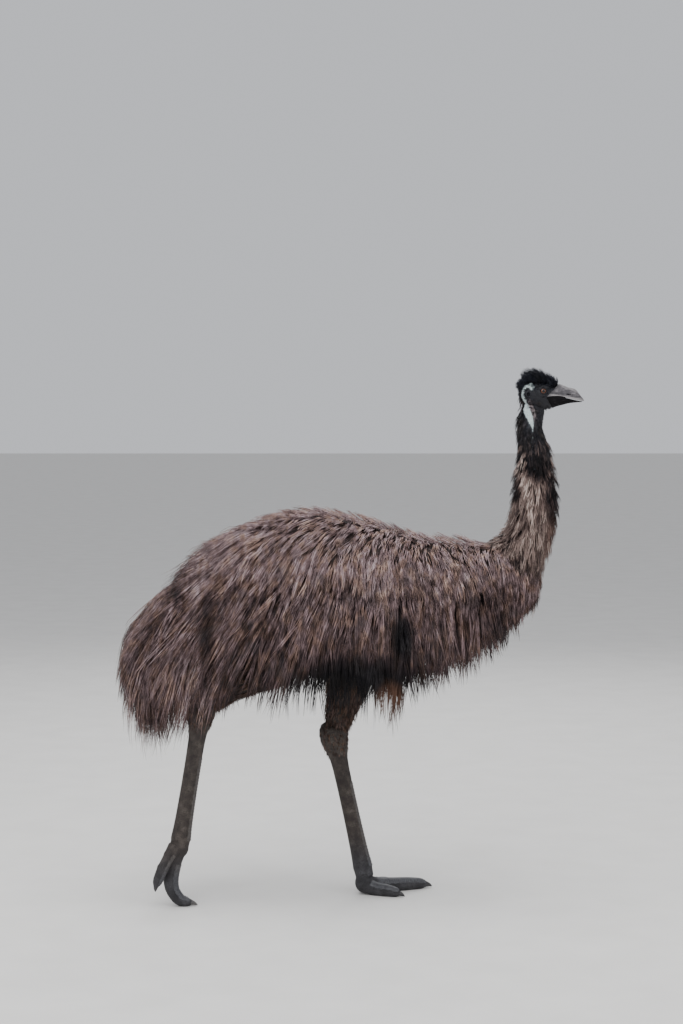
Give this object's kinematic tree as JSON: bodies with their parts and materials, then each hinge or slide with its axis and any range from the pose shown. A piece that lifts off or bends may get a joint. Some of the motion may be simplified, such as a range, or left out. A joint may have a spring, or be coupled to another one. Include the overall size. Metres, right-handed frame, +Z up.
{
  "type": "emu",
  "caption": "Life-size emu in mid stride, one foot flat on the floor and the other pushing off behind, with a shaggy coat that hangs from a parting on its back.",
  "frame": {"origin": "on the floor, under the middle of the whole bird's box", "axes": "+X towards the bill, +Y to the bird's left, +Z up"},
  "size_m": [1.3548, 0.4526, 1.5413],
  "materials": {
    "brown_plumage": "loose, shaggy brown-grey feathers",
    "dark_neck_plumage": "soft dark feathers with a buff band",
    "dark_head_plumage": "sparse black hair-like feathers",
    "pale_blue_skin": "pale bluish skin under sparse feathers",
    "grey_bill": "smooth grey horn",
    "brown_eye": "wet, orange-brown eye",
    "thigh_down": "short dark brown feathers",
    "grey_brown_scales": "dull grey-brown scales",
    "slate_scales": "dull slate scales",
    "dark_claw": "worn dark horn"
  },
  "bodies": {
    "root": {"head": "dark_head_plumage", "bill_upper": "grey_bill", "bill_lower": "grey_bill", "eye_L": "brown_eye", "eye_R": "brown_eye", "neck_upper": "pale_blue_skin", "neck_lower": "dark_neck_plumage", "torso": "brown_plumage", "tail": "brown_plumage", "drumstick_L": "thigh_down", "drumstick_R": "thigh_down", "shank_L": "grey_brown_scales", "shank_R": "grey_brown_scales", "foot_L": "slate_scales", "foot_R": "slate_scales", "claw_L_inner": "dark_claw", "claw_L_middle": "dark_claw", "claw_L_outer": "dark_claw", "claw_R_inner": "dark_claw", "claw_R_middle": "dark_claw", "claw_R_outer": "dark_claw"}
  },
  "joints": []
}
